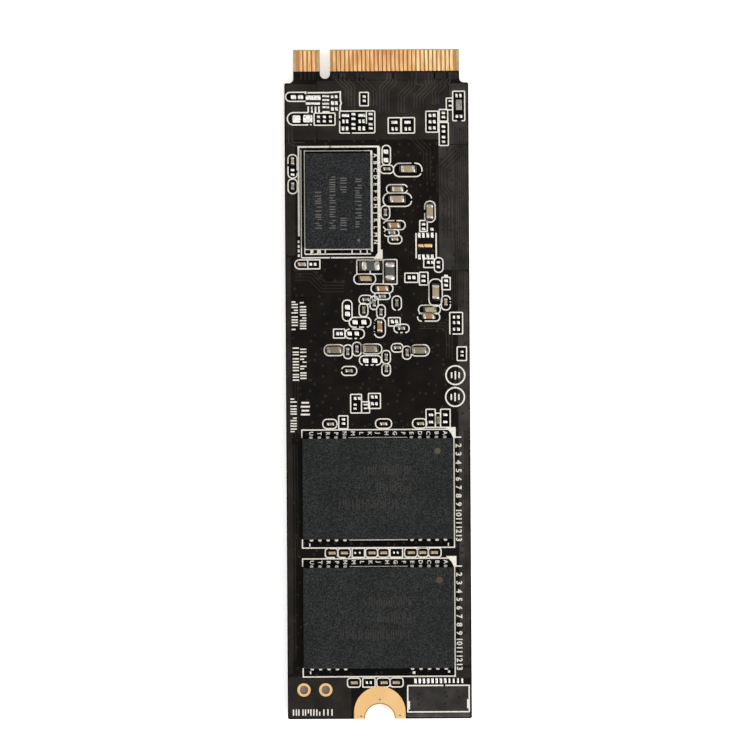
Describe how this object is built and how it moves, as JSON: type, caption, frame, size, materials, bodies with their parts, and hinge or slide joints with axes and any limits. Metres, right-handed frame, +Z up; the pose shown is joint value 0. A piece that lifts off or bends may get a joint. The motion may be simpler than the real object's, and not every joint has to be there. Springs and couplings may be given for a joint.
{
  "type": "solid state drive",
  "caption": "Bare solid state drive card with an edge connector, a key notch, flash and memory packages on both sides, small chip parts, and a half-round screw notch.",
  "frame": {"origin": "on the surface the card lies on, under the middle of the card", "axes": "+Y from the screw notch to the edge connector; +X to the right seen from above with the connector away; +Z up, out of the face with two flash packages and one memory package"},
  "size_m": [0.022, 0.08, 0.0033],
  "materials": {
    "solder_mask": "black solder mask over a glass and epoxy laminate, satin",
    "gold": "gold plating over nickel and copper, satin",
    "plug": "brown-grey resin, matte",
    "solder": "tin-silver solder, soft shine",
    "laminate": "thin package laminate, matte",
    "silicon": "ground silicon, smooth",
    "nickel": "nickel plate, satin",
    "capacitor_ceramic": "tan ceramic with tinned ends",
    "ferrite": "slate ferrite with tinned ends",
    "mould": "charcoal epoxy moulding compound, finely speckled",
    "label": "plain sticker, satin",
    "print": "white printed ink, matte"
  },
  "bodies": {
    "root": {"capacitor_c1": "capacitor_ceramic", "capacitor_c10": "capacitor_ceramic", "capacitor_c11": "capacitor_ceramic", "capacitor_c12": "capacitor_ceramic", "capacitor_c13": "capacitor_ceramic", "capacitor_c14": "capacitor_ceramic", "capacitor_c15": "capacitor_ceramic", "capacitor_c2": "capacitor_ceramic", "capacitor_c3": "capacitor_ceramic", "capacitor_c4": "capacitor_ceramic", "capacitor_c5": "capacitor_ceramic", "capacitor_c6": "capacitor_ceramic", "capacitor_c7": "capacitor_ceramic", "capacitor_c8": "capacitor_ceramic", "capacitor_c9": "capacitor_ceramic", "circuit_board": "solder_mask", "clock_crystal": "nickel", "controller_die": "silicon", "controller_lid": "nickel", "controller_mould": "mould", "controller_solder_balls": "solder", "controller_substrate": "laminate", "core_regulator": "mould", "dram_lower_die": "silicon", "dram_lower_mould": "mould", "dram_lower_solder_balls": "solder", "dram_lower_substrate": "laminate", "dram_upper_die": "silicon", "dram_upper_mould": "mould", "dram_upper_solder_balls": "solder", "dram_upper_substrate": "laminate", "ferrite_bead_l1": "ferrite", "ferrite_bead_l2": "ferrite", "flash_a_die": "silicon", "flash_a_mould": "mould", "flash_a_solder_balls": "solder", "flash_a_substrate": "laminate", "flash_b_die": "silicon", "flash_b_mould": "mould", "flash_b_solder_balls": "solder", "flash_b_substrate": "laminate", "flash_c_die": "silicon", "flash_c_mould": "mould", "flash_c_solder_balls": "solder", "flash_c_substrate": "laminate", "flash_d_die": "silicon", "flash_d_mould": "mould", "flash_d_solder_balls": "solder", "flash_d_substrate": "laminate", "inductor_l3": "ferrite", "inductor_l4": "ferrite", "label": "label", "lower_edge_contacts": "gold", "power_manager": "mould", "screw_notch_plating": "gold", "test_eyelet_left": "gold", "test_eyelet_left_plug": "plug", "test_eyelet_right": "gold", "test_eyelet_right_plug": "plug", "upper_edge_contacts": "gold"}
  },
  "joints": []
}
